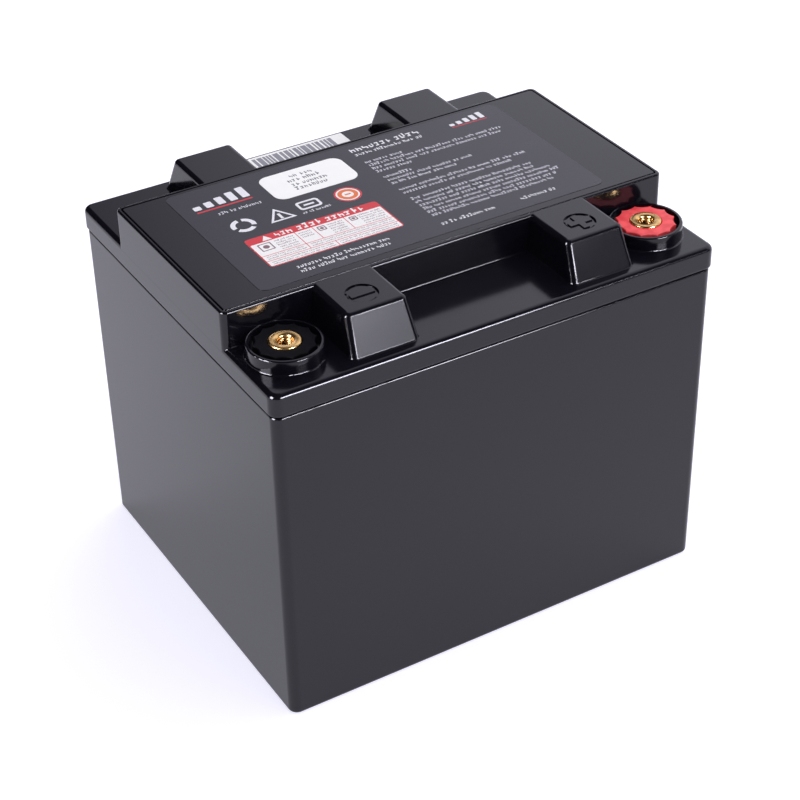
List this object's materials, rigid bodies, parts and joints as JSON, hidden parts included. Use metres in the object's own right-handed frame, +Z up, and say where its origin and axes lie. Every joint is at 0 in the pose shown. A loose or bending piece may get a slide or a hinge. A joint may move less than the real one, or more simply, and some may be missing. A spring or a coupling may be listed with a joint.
{
  "type": "sealed deep cycle battery",
  "caption": "Sealed lead-acid block battery: drafted black case, stepped lid with lift blocks, cover plate over relief valves, threaded brass terminals in raised bosses.",
  "frame": {"origin": "centre of the case's bottom face", "axes": "+Z up; +X along the long side, towards the positive terminal; -Y is the side that both terminals stand on"},
  "size_m": [0.1988, 0.1676, 0.1703],
  "materials": {
    "case_plastic": "moulded, satin, very fine grain",
    "label_film": "dark printed film, satin",
    "label_paper": "white coated paper, printed",
    "brass": "machined, lightly tarnished",
    "ring_black": "cast epoxy, satin",
    "ring_red": "cast epoxy, satin",
    "seal_rubber": "moulded",
    "valve_rubber": "moulded, soft",
    "separator_mat": "absorbent glass mat",
    "positive_plate": "pasted lead grid, dark brown",
    "negative_plate": "pasted lead grid, grey",
    "lead": "cast lead, dull"
  },
  "bodies": {
    "battery": {"case": "case_plastic", "lid": "case_plastic", "cover_plate": "case_plastic", "top_label": "label_film", "rating_label": "label_paper", "barcode_label": "label_paper", "negative_terminal_insert": "brass", "negative_polarity_ring": "ring_black", "negative_terminal_seal": "seal_rubber", "negative_post": "lead", "positive_terminal_insert": "brass", "positive_polarity_ring": "ring_red", "positive_terminal_seal": "seal_rubber", "positive_post": "lead", "cell_1_positive_plates": "positive_plate", "cell_1_negative_plates": "negative_plate", "cell_1_separators": "separator_mat", "cell_1_positive_strap": "lead", "cell_1_negative_strap": "lead", "cell_2_positive_plates": "positive_plate", "cell_2_negative_plates": "negative_plate", "cell_2_separators": "separator_mat", "cell_2_positive_strap": "lead", "cell_2_negative_strap": "lead", "cell_3_positive_plates": "positive_plate", "cell_3_negative_plates": "negative_plate", "cell_3_separators": "separator_mat", "cell_3_positive_strap": "lead", "cell_3_negative_strap": "lead", "cell_4_positive_plates": "positive_plate", "cell_4_negative_plates": "negative_plate", "cell_4_separators": "separator_mat", "cell_4_positive_strap": "lead", "cell_4_negative_strap": "lead", "cell_5_positive_plates": "positive_plate", "cell_5_negative_plates": "negative_plate", "cell_5_separators": "separator_mat", "cell_5_positive_strap": "lead", "cell_5_negative_strap": "lead", "cell_6_positive_plates": "positive_plate", "cell_6_negative_plates": "negative_plate", "cell_6_separators": "separator_mat", "cell_6_positive_strap": "lead", "cell_6_negative_strap": "lead"},
    "valve_1": {"valve_cap_1": "valve_rubber"},
    "valve_2": {"valve_cap_2": "valve_rubber"},
    "valve_3": {"valve_cap_3": "valve_rubber"},
    "valve_4": {"valve_cap_4": "valve_rubber"},
    "valve_5": {"valve_cap_5": "valve_rubber"},
    "valve_6": {"valve_cap_6": "valve_rubber"}
  },
  "joints": [
    {"name": "valve_1_lift", "type": "slide", "parent": "battery", "child": "valve_1", "axis": [0, 0, 1], "range_m": [0, 0.0008], "stiffness_N_per_m": 900, "springref_m": -0.0008},
    {"name": "valve_2_lift", "type": "slide", "parent": "battery", "child": "valve_2", "axis": [0, 0, 1], "range_m": [0, 0.0008], "stiffness_N_per_m": 900, "springref_m": -0.0008},
    {"name": "valve_3_lift", "type": "slide", "parent": "battery", "child": "valve_3", "axis": [0, 0, 1], "range_m": [0, 0.0008], "stiffness_N_per_m": 900, "springref_m": -0.0008},
    {"name": "valve_4_lift", "type": "slide", "parent": "battery", "child": "valve_4", "axis": [0, 0, 1], "range_m": [0, 0.0008], "stiffness_N_per_m": 900, "springref_m": -0.0008},
    {"name": "valve_5_lift", "type": "slide", "parent": "battery", "child": "valve_5", "axis": [0, 0, 1], "range_m": [0, 0.0008], "stiffness_N_per_m": 900, "springref_m": -0.0008},
    {"name": "valve_6_lift", "type": "slide", "parent": "battery", "child": "valve_6", "axis": [0, 0, 1], "range_m": [0, 0.0008], "stiffness_N_per_m": 900, "springref_m": -0.0008}
  ]
}
